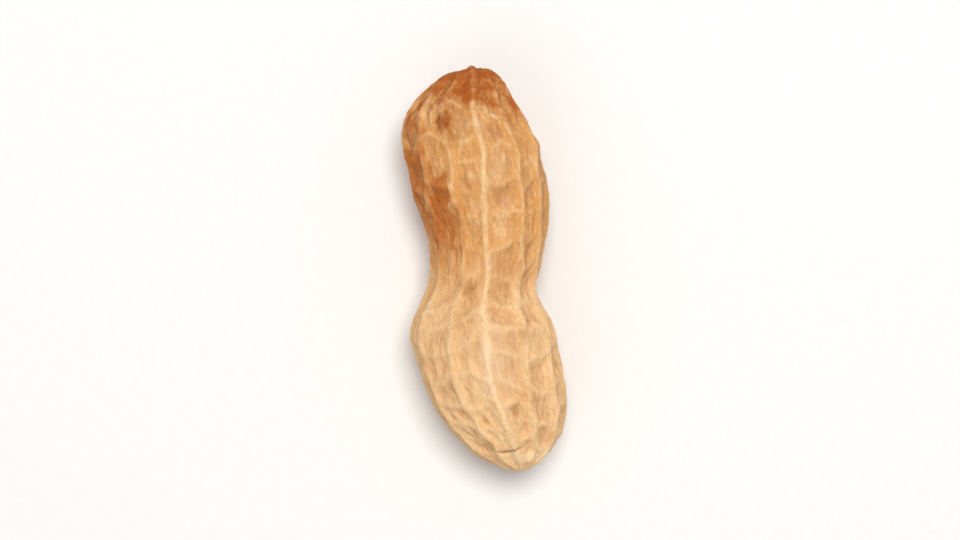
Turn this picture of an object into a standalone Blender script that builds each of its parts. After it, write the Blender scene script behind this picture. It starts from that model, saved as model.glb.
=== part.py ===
# A peanut in its shell, lying on a table on its two lobes.
#
# It is one grown piece. Two seed lobes meet at a waist. Twelve long veins run
# from the peg scar at the stem end (-X) to the beak at the other end (+X), two of
# them the sutures where the shell would split. Cross veins join the long ones
# into a raised net with sunken cells.
#
# Metres, +Z up. The origin is on the table, under the middle of the pod's box.

import math
import random

import bmesh
import bpy
import numpy as np

MM = 0.001

# Driving dimensions of the smooth pod, as half widths at shares of its length
POD_LENGTH = 40.2 * MM
STEM_LOBE_AT, STEM_LOBE_RADIUS = 0.24, 6.9 * MM
WAIST_AT, WAIST_RADIUS = 0.53, 5.45 * MM
BEAK_LOBE_AT, BEAK_LOBE_RADIUS = 0.68, 7.05 * MM
BEAK_BLUNTNESS = 2.25
HEIGHT_TO_WIDTH = 0.94

# How far the pod's middle line swings to the side (+Y), at shares of its length,
# and how far it rises at the waist
SIDE_BEND = (
    (0.00, 0.0),
    (0.08, -1.2 * MM),
    (0.24, -0.85 * MM),
    (0.43, -0.3 * MM),
    (0.51, -0.9 * MM),
    (0.60, -2.2 * MM),
    (0.72, -1.85 * MM),
    (0.86, -0.85 * MM),
    (0.95, -0.1 * MM),
    (1.00, 0.3 * MM),
)
WAIST_RISE = 0.45 * MM
WAIST_RISE_REACH = (BEAK_LOBE_AT - STEM_LOBE_AT) / 3

# Slow unevenness of the lobes: a slightly oval section that turns along the pod, and soft lumps
OVALITY = 0.02
OVALITY_START, OVALITY_TURN = math.radians(143), math.radians(286)
LUMP_HEIGHT = 0.16 * MM
LUMP_SIZE = 6.0 * MM
LUMP_WAVES = 6

# Long veins
VEIN_COUNT = 12
VEIN_HEIGHT = 0.50 * MM
VEIN_WIDTH = 0.45 * MM
VEIN_JITTER = math.radians(5)
VEIN_WANDER = math.radians(3.5)
VEIN_WAVES = (0.8, 1.4)
VEIN_UNEVEN = (0.75, 1.1)
SUTURE_WANDER = math.radians(1)
SUTURE_HEIGHT = 0.58 * MM
KEEL_HEIGHT = 0.20 * MM
KEEL_HALF_WIDTH = 1.6 * MM

# How far the whole net turns towards +Y, at shares of the length. It keeps the suture
# straighter than the pod's own bend.
NET_TURN = (
    (0.00, math.radians(8)),
    (0.20, math.radians(8.4)),
    (0.42, math.radians(-2)),
    (0.60, math.radians(6)),
    (0.68, math.radians(2.5)),
    (0.75, math.radians(-2)),
    (0.82, math.radians(-4)),
    (0.90, math.radians(-3)),
    (1.00, math.radians(-1)),
)

# Cross veins and the cells between them
CROSS_SPACING = 2.9 * MM
CROSS_HEIGHT = 0.46 * MM
CROSS_WIDTH = 0.42 * MM
CROSS_SLOPE = 0.5
CROSS_START = (0.5, 1.2)
CROSS_STEP = (0.7, 1.35)
CROSS_UNEVEN = (0.5, 1.1)
CELL_DEPTH = 0.20 * MM

# The two ends
BEAK_LENGTH = 0.8 * MM
BEAK_RADIUS = 1.7 * MM
BEAK_HOOK = 0.5 * MM
SCAR_RADIUS = 1.2 * MM
SCAR_DEPTH = 0.45 * MM
STUB_RADIUS = 0.6 * MM
STUB_HEIGHT = 0.7 * MM
STEM_FADE = 3.0 * MM
BEAK_FADE = 2.4 * MM

# The flat spots that it rests on, one under each lobe
FLAT_DEPTH = 0.32 * MM
FLAT_FADE = 3.4 * MM
FLAT_SMOOTHING = 0.8

# Mesh fineness
CELL_COLUMNS = (0.0, 0.2, 0.5, 0.8)
END_ROWS, END_ROW_STEP = 6, 0.30 * MM
MIDDLE_ROWS = 106
PROFILE_SAMPLES = 4000
SEED = 5


def clear_scene():
    for old in list(bpy.data.objects):
        bpy.data.objects.remove(old)


def smoothstep(share):
    share = np.clip(share, 0.0, 1.0)
    return share * share * (3.0 - 2.0 * share)


def bell(distance, width):
    return np.exp(-((distance / width) ** 2))


def crest(distance, width):
    """A narrow top with long skirts, so that the floor between two crests is a hollow."""
    return 1 / (1 + (distance / width) ** 2)


def curve_through(points, where):
    """A smooth curve through (position, value) pairs, read at the given positions."""
    at = np.array([p[0] for p in points])
    value = np.array([p[1] for p in points])
    slope = np.gradient(value, at)
    k = np.clip(np.searchsorted(at, where) - 1, 0, len(at) - 2)
    span = at[k + 1] - at[k]
    u = (where - at[k]) / span
    return (
        value[k] * (1 + 2 * u) * (1 - u) ** 2
        + slope[k] * span * u * (1 - u) ** 2
        + value[k + 1] * u * u * (3 - 2 * u)
        + slope[k + 1] * span * u * u * (u - 1)
    )


def pod_radius(share):
    """Half width of the smooth pod: round ends, and two ramps that meet at the waist."""
    stem_end = np.sqrt(np.clip(1 - (1 - share / STEM_LOBE_AT) ** 2, 0, 1))
    past_lobe = np.clip((share - BEAK_LOBE_AT) / (1 - BEAK_LOBE_AT), 0, 1)
    beak_end = (1 - past_lobe**BEAK_BLUNTNESS) ** (1 / BEAK_BLUNTNESS)
    before = np.clip((share - STEM_LOBE_AT) / (WAIST_AT - STEM_LOBE_AT), 0, 1)
    after = np.clip((share - WAIST_AT) / (BEAK_LOBE_AT - WAIST_AT), 0, 1)
    to_waist = 0.5 - 0.5 * np.cos(math.pi * before)
    from_waist = 0.5 - 0.5 * np.cos(math.pi * after)
    ramps = (
        STEM_LOBE_RADIUS
        + (WAIST_RADIUS - STEM_LOBE_RADIUS) * to_waist
        + (BEAK_LOBE_RADIUS - WAIST_RADIUS) * from_waist
    )
    return ramps * np.where(share < STEM_LOBE_AT, stem_end, 1) * beak_end


def length_table():
    """Shares of the length, and how far along the surface each lies from the stem end."""
    turn = np.linspace(0, math.pi, PROFILE_SAMPLES)
    share = 0.5 - 0.5 * np.cos(turn)
    steps = np.hypot(np.diff(share) * POD_LENGTH, np.diff(pod_radius(share)))
    return share, np.concatenate([[0.0], np.cumsum(steps)])


def row_positions(surface_length):
    """Rows of points from end to end, closer together at the two ends."""
    near = np.arange(1, END_ROWS + 1) * END_ROW_STEP
    middle = np.linspace(near[-1], surface_length - near[-1], MIDDLE_ROWS + 2)[1:-1]
    return np.concatenate([near, middle, surface_length - near[::-1]])


def grow_veins(draw, surface_length):
    """Each long vein's angle and wander, and the cross veins of the gap on its left."""
    veins = []
    for number in range(VEIN_COUNT):
        suture = number % (VEIN_COUNT // 2) == 0
        vein = {
            "angle": math.pi / 2 + 2 * math.pi * number / VEIN_COUNT,
            "wander": SUTURE_WANDER if suture else VEIN_WANDER,
            "phase": draw.uniform(0, 2 * math.pi),
            "waves": draw.uniform(*VEIN_WAVES),
            "height": SUTURE_HEIGHT if suture else VEIN_HEIGHT * draw.uniform(*VEIN_UNEVEN),
            "suture": suture,
            "cross": [],
        }
        if not suture:
            vein["angle"] += draw.uniform(-VEIN_JITTER, VEIN_JITTER)
        along = CROSS_SPACING * draw.uniform(*CROSS_START)
        while along < surface_length - CROSS_SPACING / 2:
            vein["cross"].append(
                {
                    "along": along,
                    "slope": draw.uniform(-CROSS_SLOPE, CROSS_SLOPE),
                    "height": CROSS_HEIGHT * draw.uniform(*CROSS_UNEVEN),
                }
            )
            along += CROSS_SPACING * draw.uniform(*CROSS_STEP)
        veins.append(vein)
    return veins


def vein_angle(vein, share):
    wander = vein["wander"] * np.sin(2 * math.pi * vein["waves"] * share + vein["phase"])
    return vein["angle"] - curve_through(NET_TURN, share) + wander


def column_angles(veins, share):
    """Angle of every column at every row. Columns follow the veins, so that crests fall on them."""
    columns = []
    for number, vein in enumerate(veins):
        start = vein_angle(vein, share)
        end = vein_angle(veins[(number + 1) % VEIN_COUNT], share)
        if number == VEIN_COUNT - 1:
            end = end + 2 * math.pi
        for across in CELL_COLUMNS:
            columns.append(start + (end - start) * across)
    return np.stack(columns, axis=1)


def smooth_pod(share, angles):
    """Points of the pod before its veins: rings about a middle line that bends sideways."""
    turn = OVALITY_START + OVALITY_TURN * share[:, None]
    radius = pod_radius(share)[:, None] * (1 + OVALITY * np.cos(2 * angles + turn))
    middle = curve_through(SIDE_BEND, share)[:, None]
    x = np.repeat((POD_LENGTH * (share - 0.5))[:, None], angles.shape[1], axis=1)
    y = middle + radius * np.cos(angles)
    rise = WAIST_RISE * bell(share - WAIST_AT, WAIST_RISE_REACH)[:, None]
    z = rise + HEIGHT_TO_WIDTH * radius * np.sin(angles)
    return np.stack([x, y, z], axis=2)


def outward(points):
    """Unit normals of a grid of points whose columns close on themselves."""
    along = np.gradient(points, axis=0)
    around = np.roll(points, -1, axis=1) - np.roll(points, 1, axis=1)
    normal = np.cross(around, along)
    return normal / np.linalg.norm(normal, axis=2, keepdims=True)


def net_height(veins, rows, share, radius):
    """Height of the raised net over the smooth pod, for every row and column."""
    height = []
    for number, vein in enumerate(veins):
        after = veins[(number + 1) % VEIN_COUNT]
        span = (vein_angle(after, share) - vein_angle(vein, share)) % (2 * math.pi)
        gap = span * radius
        for across in CELL_COLUMNS:
            long_veins = np.maximum(
                vein["height"] * crest(across * gap, VEIN_WIDTH),
                after["height"] * crest((1 - across) * gap, VEIN_WIDTH),
            )
            joined = np.zeros(len(rows))
            for cross in vein["cross"]:
                line = cross["along"] + cross["slope"] * (across - 0.5) * gap
                joined = np.maximum(joined, cross["height"] * crest(rows - line, CROSS_WIDTH))
            net = np.cbrt(long_veins**3 + joined**3)
            keel = sum(
                KEEL_HEIGHT * bell(side * gap, KEEL_HALF_WIDTH)
                for side, edge in ((across, vein), (1 - across, after))
                if edge["suture"]
            )
            height.append(net + keel - CELL_DEPTH)
    return np.stack(height, axis=1)


def lumps(points, draw):
    """Slow swellings and dents, from a few waves that cross the pod in different directions."""
    height = np.zeros(points.shape[:2])
    for _ in range(LUMP_WAVES):
        way = np.array([draw.gauss(0, 1) for _ in range(3)])
        way *= 2 * math.pi / LUMP_SIZE / np.linalg.norm(way) * draw.uniform(0.4, 1.0)
        height += np.sin(points @ way + draw.uniform(0, 2 * math.pi))
    return height * LUMP_HEIGHT / math.sqrt(LUMP_WAVES)


def shape_ends(points, middle):
    """Draws out the beak at +X, and sinks the peg's scar with its broken stub at -X."""
    off_axis = np.hypot(points[..., 1] - middle, points[..., 2])
    at_beak = points[..., 0] > 0
    nose = np.where(at_beak, bell(off_axis, BEAK_RADIUS), 0)
    scar = np.where(at_beak, 0, bell(off_axis, SCAR_RADIUS))
    stub = np.where(at_beak, 0, bell(off_axis, STUB_RADIUS))
    points[..., 0] += BEAK_LENGTH * nose + SCAR_DEPTH * scar - STUB_HEIGHT * stub
    points[..., 2] += BEAK_HOOK * nose
    return points


def near_rest(points):
    """1 under each lobe, where the pod touches the table, and 0 away from there."""
    share = 0.5 + points[..., 0] / POD_LENGTH
    spots = np.zeros(points.shape[:2])
    for lobe_at, lobe_radius in ((STEM_LOBE_AT, STEM_LOBE_RADIUS), (BEAK_LOBE_AT, BEAK_LOBE_RADIUS)):
        side = curve_through(SIDE_BEND, np.array([lobe_at]))[0]
        away = np.stack(
            [
                (share - lobe_at) * POD_LENGTH,
                points[..., 1] - side,
                points[..., 2] + HEIGHT_TO_WIDTH * lobe_radius,
            ]
        )
        spots = np.maximum(spots, bell(np.linalg.norm(away, axis=0), FLAT_FADE))
    return spots


def settle(points):
    """Tips the pod until both lobes touch the table, then lowers it by the depth of the flat spots."""
    waist_x = POD_LENGTH * (WAIST_AT - 0.5)
    flat = points.reshape(-1, 3)
    stem = flat[flat[:, 0] < waist_x]
    beak = flat[flat[:, 0] >= waist_x]
    low_stem = stem[stem[:, 2].argmin()]
    low_beak = beak[beak[:, 2].argmin()]
    tip = math.atan2(low_beak[2] - low_stem[2], low_beak[0] - low_stem[0])
    x = points[..., 0] * math.cos(tip) + points[..., 2] * math.sin(tip)
    z = points[..., 2] * math.cos(tip) - points[..., 0] * math.sin(tip)
    points = np.stack([x, points[..., 1], z], axis=-1)
    points[..., 2] -= z.min() + FLAT_DEPTH
    for axis in (0, 1):
        side = points[..., axis]
        points[..., axis] -= (side.min() + side.max()) / 2
    return points


def pod_points():
    """Every ring of the finished pod, from the stem end to the beak, with a point on each end."""
    draw = random.Random(SEED)
    table_share, table_along = length_table()
    rows = row_positions(table_along[-1])
    share = np.interp(rows, table_along, table_share)
    veins = grow_veins(draw, table_along[-1])
    points = smooth_pod(share, column_angles(veins, share))
    normal = outward(points)
    from_beak = table_along[-1] - rows
    fade = (smoothstep(rows / STEM_FADE) * smoothstep(from_beak / BEAK_FADE))[:, None]
    smoothing = 1 - FLAT_SMOOTHING * near_rest(points)
    relief = net_height(veins, rows, share, pod_radius(share)) * fade * smoothing
    points = points + normal * (relief + lumps(points, draw))[..., None]
    rings = shape_ends(points, curve_through(SIDE_BEND, share)[:, None])
    pole_sides = np.array([SIDE_BEND[0][1], SIDE_BEND[-1][1]])
    poles = np.array([[-POD_LENGTH / 2, pole_sides[0], 0], [POD_LENGTH / 2, pole_sides[1], 0]])
    poles = shape_ends(poles, pole_sides)
    joined = settle(np.concatenate([rings.reshape(-1, 3), poles]))
    return joined, rings.shape[0], rings.shape[1]


def pod_mesh():
    """The closed mesh: rings joined by quads, a fan at each end, and the table's cut under each lobe."""
    points, ring_count, column_count = pod_points()
    shell = bmesh.new()
    corners = [shell.verts.new(point) for point in points]
    stem_pole, beak_pole = corners[-2], corners[-1]
    for column in range(column_count):
        beside = (column + 1) % column_count
        for ring in range(ring_count - 1):
            here, ahead = ring * column_count, (ring + 1) * column_count
            quad = (here + column, here + beside, ahead + beside, ahead + column)
            shell.faces.new([corners[k] for k in quad])
        last = (ring_count - 1) * column_count
        shell.faces.new((stem_pole, corners[beside], corners[column]))
        shell.faces.new((beak_pole, corners[last + column], corners[last + beside]))
    bmesh.ops.recalc_face_normals(shell, faces=shell.faces)
    cut = bmesh.ops.bisect_plane(
        shell,
        geom=shell.verts[:] + shell.edges[:] + shell.faces[:],
        dist=1e-7,
        plane_co=(0, 0, 0),
        plane_no=(0, 0, 1),
        clear_inner=True,
    )
    rim = [edge for edge in cut["geom_cut"] if isinstance(edge, bmesh.types.BMEdge)]
    bmesh.ops.holes_fill(shell, edges=rim)
    bmesh.ops.recalc_face_normals(shell, faces=shell.faces)
    mesh = bpy.data.meshes.new("pod")
    shell.to_mesh(mesh)
    shell.free()
    mesh.shade_smooth()
    return mesh


def shell_material():
    material = bpy.data.materials.new("peanut_shell")
    material.use_nodes = True
    surface = material.node_tree.nodes["Principled BSDF"]
    surface.inputs["Base Color"].default_value = (0.68, 0.42, 0.20, 1)
    surface.inputs["Roughness"].default_value = 0.75
    surface.inputs["Metallic"].default_value = 0.0
    return material


def build_pod():
    pod = bpy.data.objects.new("pod", pod_mesh())
    pod.data.materials.append(shell_material())
    bpy.context.scene.collection.objects.link(pod)


clear_scene()
build_pod()
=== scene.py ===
import math
import random

import bpy
import numpy as np
from mathutils import Matrix, Vector, noise


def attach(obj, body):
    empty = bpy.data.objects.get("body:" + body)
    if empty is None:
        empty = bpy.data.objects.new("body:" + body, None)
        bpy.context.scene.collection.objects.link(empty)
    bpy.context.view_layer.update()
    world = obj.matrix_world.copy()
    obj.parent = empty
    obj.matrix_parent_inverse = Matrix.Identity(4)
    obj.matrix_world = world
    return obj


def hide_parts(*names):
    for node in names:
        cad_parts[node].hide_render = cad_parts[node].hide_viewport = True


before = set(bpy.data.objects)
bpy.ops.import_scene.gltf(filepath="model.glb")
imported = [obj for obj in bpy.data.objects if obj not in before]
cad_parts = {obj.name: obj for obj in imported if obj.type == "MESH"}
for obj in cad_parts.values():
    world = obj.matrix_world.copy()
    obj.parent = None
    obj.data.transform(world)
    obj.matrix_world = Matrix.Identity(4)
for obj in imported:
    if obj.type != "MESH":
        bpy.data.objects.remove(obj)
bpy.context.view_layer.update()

# A dry two-seeded peanut in its shell, lying on its two lobes on a pale table.
# +X runs from the stem end to the beak, +Z is up.
# Sizes in the dictionaries are millimetres and angles are degrees, unless a note says otherwise.
mm = 0.001

# Where patterns lie in Blender's noise: two of them with different numbers have nothing in common
patternStep = 31.7
linePatternStep = 7.3
linePatternLevel = 1.9


def smoothstep(share):
    share = np.clip(share, 0.0, 1.0)
    return share * share * (3.0 - 2.0 * share)


def between(low, high, share):
    return low + (high - low) * share


def bell(distance, width):
    return np.exp(-((distance / width) ** 2))


def crest(distance, width):  # narrow top, long skirts: the floor between two crests is a hollow
    return 1 / (1 + (distance / width) ** 2)


def curveThrough(points, where):  # a smooth curve through a few pairs of place and value
    at = np.array([p[0] for p in points])
    value = np.array([p[1] for p in points])
    slope = np.gradient(value, at)
    k = np.clip(np.searchsorted(at, where) - 1, 0, len(at) - 2)
    span = at[k + 1] - at[k]
    u = (where - at[k]) / span
    return (
        value[k] * (1 + 2 * u) * (1 - u) ** 2
        + slope[k] * span * u * (1 - u) ** 2
        + value[k + 1] * u * u * (3 - 2 * u)
        + slope[k + 1] * span * u * u * (u - 1)
    )


def noiseAt(points, size, pattern):  # smooth noise, about -1 to 1
    size = np.broadcast_to(np.asarray(size, float), (3,))
    flat = points.reshape(-1, 3) / size + patternStep * pattern
    values = np.array([noise.noise(Vector(p)) for p in flat])
    return values.reshape(points.shape[:-1])


def nearestSpeck(points, size, pattern):  # distance to the nearest of many scattered points
    flat = points.reshape(-1, 3) / size + patternStep * pattern
    found = np.array([noise.voronoi(Vector(p))[0][0] for p in flat]) * size
    return found.reshape(points.shape[:-1])


def lineWaver(where, pattern, size=1.0):  # slow wobble along one line
    level = linePatternStep * pattern
    return np.array([noise.noise(Vector((place / size, level, linePatternLevel))) for place in where])


def soften(grid, times):  # spreads a value over its neighbours; the columns close on themselves
    for _ in range(times):
        grid = (np.roll(grid, 1, 1) + np.roll(grid, -1, 1) + 2 * grid) / 4
        padded = np.pad(grid, ((1, 1), (0, 0)), mode="edge")
        grid = (padded[:-2] + padded[2:] + 2 * grid) / 4
    return grid


podShell = {
    # The whole form: two lobes, the waist between them, and the two ends.
    # Places along the pod are shares of its length.
    "pod": {
        "length": 40.2,
        "stemLobeAt": 0.24,
        "stemLobeRadius": 6.9,
        "waistAt": 0.53,
        "waistRadius": 5.45,
        "beakLobeAt": 0.68,
        "beakLobeRadius": 7.05,
        "beakBluntness": 2.25,
        "heightToWidth": 0.94,
        "sideBend": (  # how far the middle line swings to the side (+Y) at each place
            (0.00, 0.0), (0.08, -1.2), (0.24, -0.85), (0.43, -0.3), (0.51, -0.9),
            (0.60, -2.2), (0.72, -1.85), (0.86, -0.85), (0.95, -0.1), (1.00, 0.3),
        ),
        "waistRise": 0.45,
        "ovality": 0.02,
        "ovalityStart": 143,
        "ovalityTurn": 286,
        "lumpHeight": 0.16,
        "lumpSize": 6.0,
        "lumpWaves": 6,
        "lumpUneven": (0.4, 1.0),
        "beakLength": 0.8,
        "beakRadius": 1.7,
        "beakHook": 0.5,
        "scarRadius": 1.2,
        "scarDepth": 0.45,
        "stubRadius": 0.6,
        "stubHeight": 0.7,
        "flatDepth": 0.32,
        "flatFade": 3.4,
        "flatSmoothing": 0.8,
        "seed": 5,
    },
    # The raised net that is also in the solid
    "net": {
        "veinCount": 12,
        "veinHeight": 0.50,
        "veinWidth": 0.45,
        "veinJitter": 5,
        "veinWander": 3.5,
        "veinWaves": (0.8, 1.4),
        "veinUneven": (0.75, 1.1),
        "sutureWander": 1,
        "sutureHeight": 0.58,
        "keelHeight": 0.20,
        "keelHalfWidth": 1.6,
        # how far the whole net turns towards +Y at each place: the suture runs straighter than the pod
        "turn": (
            (0.00, 8), (0.20, 8.4), (0.42, -2), (0.60, 6), (0.68, 2.5),
            (0.75, -2), (0.82, -4), (0.90, -3), (1.00, -1),
        ),
        "crossSpacing": 2.9,
        "crossHeight": 0.46,
        "crossWidth": 0.42,
        "crossSlope": 0.5,
        "crossStart": (0.5, 1.2),
        "crossStep": (0.7, 1.35),
        "crossUneven": (0.5, 1.1),
        "cellDepth": 0.20,
        "stemFade": 3.0,
        "beakFade": 2.4,
    },
    # How finely the surface is made, and how the net is uneven where the solid is too coarse for it
    "fine": {
        "rows": 338,
        "columnsPerGap": 24,
        "profileSteps": 4000,
        "veinWaver": 0.22,
        "veinWaverSize": 2.4,
        "veinBreaks": 0.26,
        "veinBreakSize": 2.1,
        "veinSwell": 0.35,  # how far a vein's width comes and goes
        "veinSwellSize": 2.7,
        "veinKink": 0.26,  # how far a cross vein pulls the long vein that it meets
        "kinkReach": 1.1,
        "sutureStray": 0.35,  # the suture strays less than the other veins
        "cordShare": 0.20,  # how much of a vein's height is its narrow cord
        "cordWidth": 0.26,
        "crossWaver": 0.50,
        "crossBends": 3,
        "crossSag": 0.22,
        "crossBreaks": 0.55,
        "crossBreakSize": 1.6,
        "calmGap": 9,  # the gap that makes the stem lobe's outline on the +Y side, which is smooth
        "calmCross": 0.5,
        "calmUntil": 0.38,
        "calmFade": 0.2,
        "midVeinHeight": 0.20,
        "midVeinWidth": 0.36,
        "midVeinStray": 0.20,  # share of the gap
        "midVeinStraySize": 4.0,
        "midVeinPresence": 0.4,  # the higher, the more of the vein there is
        "midVeinContrast": 2.2,
        "midVeinRunSize": 3.4,
        "ridgeMerge": 4,  # the higher, the sharper the join between two veins
        "netSoftening": 3,
        "floorBelow": 0.17,  # what is lower than this is the floor of a cell
        "floorFade": 0.12,
        "toneSeed": 11,
    },
    # Dimples, buckles, strands, wrinkles, grain and pits, mostly on the floors of the cells
    "skin": {
        "crestShare": 0.35,  # how much of the buckles and strands is left on a crest
        "endShare": 0.35,  # and of all the detail at the two ends
        "driftSize": 1.4,  # the slow drift that keeps the patterns from running straight
        "dimpleDepth": 0.13,  # each cell sinks into a soft dimple, some more than others
        "dimpleUneven": 0.6,
        "dimpleSoftening": 2,
        "buckleHeight": 0.09,
        "buckleSize": 1.6,
        "buckleDrift": 0.6,
        "strandHeight": 0.06,  # fibres that run lengthwise just under the skin
        "strandSize": (3.6, 0.62, 0.62),  # lengthwise and across
        "strandDrift": 0.25,
        "strandSharpness": 4,
        "strandLow": -0.5,
        "wrinkleHeight": 0.05,
        "wrinkleSize": (1.6, 0.40, 0.40),
        "wrinkleDrift": 0.3,
        "grainHeight": 0.04,
        "grainSize": 0.6,
        "finerGrain": 0.6,  # how strong the same grain is at half the size
        "pitDepth": 0.10,
        "pitSpacing": 1.3,
        "pitRadius": 0.18,
        "pitDrift": 0.3,
        "pitCrestShare": 0.3,
        "pitPatchSize": 3.0,
        "pitPatchPresence": 0.6,
        "pitPatchContrast": 2,
    },
    # The short split across the upper side of the beak, and the raised lip beyond it
    "split": {
        "at": (18.75, -0.9),  # x and y of its middle
        "halfLength": 2.0,
        "width": 0.13,
        "depth": 0.28,
        "bow": 0.10,
        "endFade": 1.2,
        "stray": 0.30,  # how unevenly it runs
        "straySize": 1.1,
        "strayAtEnds": 2,  # how much more its length and its lip vary
        "upperFade": 1.5,
        "lipSide": 0.9,  # y of the lip's middle
        "lipBeyond": 0.75,
        "lipHalfLength": 3.2,
        "lipWidth": 0.62,
        "lipHeight": 0.14,
        "lipBow": 0.06,
        "lipEndFade": 1.5,
        "lipEvenness": 0.8,
    },
    # How the relief turns into masks for the finish
    "masks": {
        "suturePale": 1.0,
        "besideSuturePale": 0.6,
        "veinPale": 0.5,
        "crossPale": 0.5,
        "paleFrom": 0.25,
        "paleFade": 0.65,
        "stemLobePale": 0.65,  # the net is less pale there
        "beakLobeFrom": 0.45,
        "beakLobeFade": 0.25,
        "hollowSoftening": 12,
        "hollowFull": 0.14,
        "proudSoftening": 5,
        "proudFull": 0.05,
    },
    # The number of each noise pattern. Where a pattern has one line for each long vein or gap,
    # the vein's own number is added.
    "patterns": {
        "veinWaver": 0, "veinBreaks": 40, "veinSwell": 140, "midVeinPath": 80, "midVeinRuns": 95,
        "crossWaver": 60, "crossWaverStep": 9,
        "buckles": 2, "wrinkles": 3, "grain": 4, "finerGrain": 5, "pits": 6, "pitPatches": 7,
        "crossBreaks": 8, "strands": 9, "ragged": 12, "finerRagged": 13, "blots": 15, "split": 17,
        "drift": (21, 22, 23),
    },
    # Where the shell is stained, and where painted shade and painted highlights are laid. Places are x, y
    # on the pod as it lies, seen from above, with how far each patch reaches in x and in y. An upper patch
    # is on the upper side only.
    "stainsAndPaintedLight": {
        # The stem end: a red-brown stain with painted shade over it; the patches along its +Y and -Y edges
        # are painted shade
        "stemStainAndShade": (
            {"at": (-18.5, 1.5), "reach": (4.2, 6.8), "softness": 1.6, "ragged": 0.6, "upper": True},
            # painted shade along the +Y edge near the stem
            {"at": (-16.6, 5.4), "reach": (3.4, 2.4), "softness": 1.5, "strength": 0.8},
            # painted shade along the -Y edge near the stem
            {"at": (-15.8, -5.4), "reach": (3.2, 1.7), "softness": 1.5, "strength": 0.55},
            {"at": (-15.1, -1.8), "reach": (1.5, 0.9), "softness": 1.4, "strength": 0.95, "upper": True},
        ),
        # The left (-Y) flank of the stem lobe, darker and more orange: painted shade and painted reflected
        # light over some of the shell's own orange-brown
        "flankShadeAndStain": (
            {"at": (-5.0, -3.1), "reach": (5.4, 3.1), "softness": 1.4, "strength": 0.85},
            {"at": (-7.6, -3.0), "reach": (2.8, 1.4), "softness": 1.2, "strength": 1.15, "upper": True},
            {"at": (-9.8, -6.0), "reach": (9.5, 3.4), "softness": 1.5, "strength": 0.95},
        ),
        # Pale patches on the upper side of the lobes: partly dust, partly a painted highlight on their tops
        "dust": (
            {"at": (8.8, 0.2), "reach": (6.0, 2.6), "softness": 1.5, "upper": True},
            {"at": (-10.4, 2.8), "reach": (4.4, 2.2), "softness": 1.6, "strength": 0.5, "upper": True},
        ),
        # Small pale marks near the beak's tip and near the stem: partly pale flakes of the skin, partly
        # painted highlights
        "flakeAndHighlight": (
            {"at": (19.3, 3.2), "reach": (0.7, 1.9), "softness": 1.4, "strength": 0.6, "upper": True},
            {
                "at": (-15.2, 3.0), "reach": (0.4, 1.0), "slant": 0.5,
                "softness": 1.2, "ragged": 0.9, "upper": True,
            },
        ),
        "plainPatch": {"strength": 1.0, "ragged": 0.5, "slant": 0.0, "upper": False},
        "patchEdge": 1.3,  # where a patch ends, in reaches from its middle
        "upperFrom": 4.0,  # height over the table
        "upperFade": 3.5,
        "raggedSize": (2.0, 0.9, 0.9),
        "finerRagged": 0.7,
        "finerRaggedSize": (0.9, 0.35, 0.35),
        "capLength": 8.8,  # the red-brown cap at the stem end, a stain darkened further with painted shade
        "capFade": 0.7,
        "capRagged": 1.8,
        "capStrength": 0.9,
        "blotSize": (6.0, 3.2, 3.2),  # the brown blots on the underside
        "blotRagged": 0.45,
        "blotFrom": 0.10,
        "blotFade": 0.80,
        "blotStrength": 0.6,
        "scarRing": 1.0,  # how far from the stem's middle the dark ring lies
        "scarRingWidth": 0.4,
        "stubTopWidth": 0.55,
        "scarEvenness": 0.8,
        "scarRagged": 0.6,
        "hollows": (  # x, y, size and strength of each hollow, which is sunk a little and darkened with painted shade
            (-15.3, -1.8, 1.0, 1.0), (-13.9, -1.1, 1.0, 0.8), (-14.1, 3.3, 0.8, 0.8),
            (-9.0, -0.4, 0.8, 0.5), (-7.4, 2.7, 0.7, 0.55), (0.5, 1.9, 0.9, 0.6),
            (1.6, -1.5, 0.8, 1.0), (4.6, -1.6, 0.7, 0.6), (6.8, 3.5, 0.7, 0.6),
            (14.3, 2.0, 0.55, 1.0), (17.6, -1.2, 0.55, 0.7), (4.8, -2.9, 2.3, 0.4),
        ),
        "hollowDepth": 0.10,
        "hollowNarrowing": 0.65,  # they are longer than they are wide
        "hollowEvenness": 0.9,
        "hollowRagged": 0.7,
    },
    # The colours are what the shell is under white light, save those that stand for painted shade or
    # painted highlights, as noted where they are laid
    "finish": {
        "colours": {
            "stemLobe": (0.70, 0.335, 0.102),
            "beakLobe": (0.875, 0.542, 0.272),
            "pale": (0.98, 0.70, 0.405),
            "cell": (0.58, 0.285, 0.12),
            "warmCloud": (0.62, 0.29, 0.09),
            "fibre": (0.46, 0.225, 0.08),
            "dust": (0.95, 0.68, 0.40),
            "dustAndHighlight": (0.98, 0.72, 0.50),
            "soil": (0.33, 0.16, 0.065),
            "freckle": (0.26, 0.11, 0.045),
            "stemStainAndShade": (0.60, 0.275, 0.09),
            "flankShadeAndStain": (0.67, 0.34, 0.12),
            # the colour of the painted shade in the hollows
            "hollowShade": (0.66, 0.55, 0.44),
            "scar": (0.50, 0.38, 0.30),
            # the colour of the painted shade inside the split across the beak
            "split": (0.20, 0.10, 0.05),
        },
        "lobeChange": (0.40, 0.64),  # where along the pod one lobe's colour turns into the other's
        # stretch is how tight a noise is lengthwise and across, in turns to a millimetre
        "noises": {
            "clouds": {"stretch": (0.14, 0.20, 0.20), "detail": 5.0, "roughness": 0.62},
            "paleClouds": {"stretch": (0.22, 0.34, 0.34), "scale": 1.1, "detail": 4.0, "roughness": 0.6},
            "blotches": {"stretch": (0.5, 1.1, 1.1), "detail": 6.0, "roughness": 0.7},
            "soil": {"stretch": (0.8, 1.5, 1.5), "scale": 1.2, "detail": 6.0, "roughness": 0.78},
            "broken": {"stretch": (0.9, 1.8, 1.8), "detail": 5.0, "roughness": 0.7},
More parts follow.
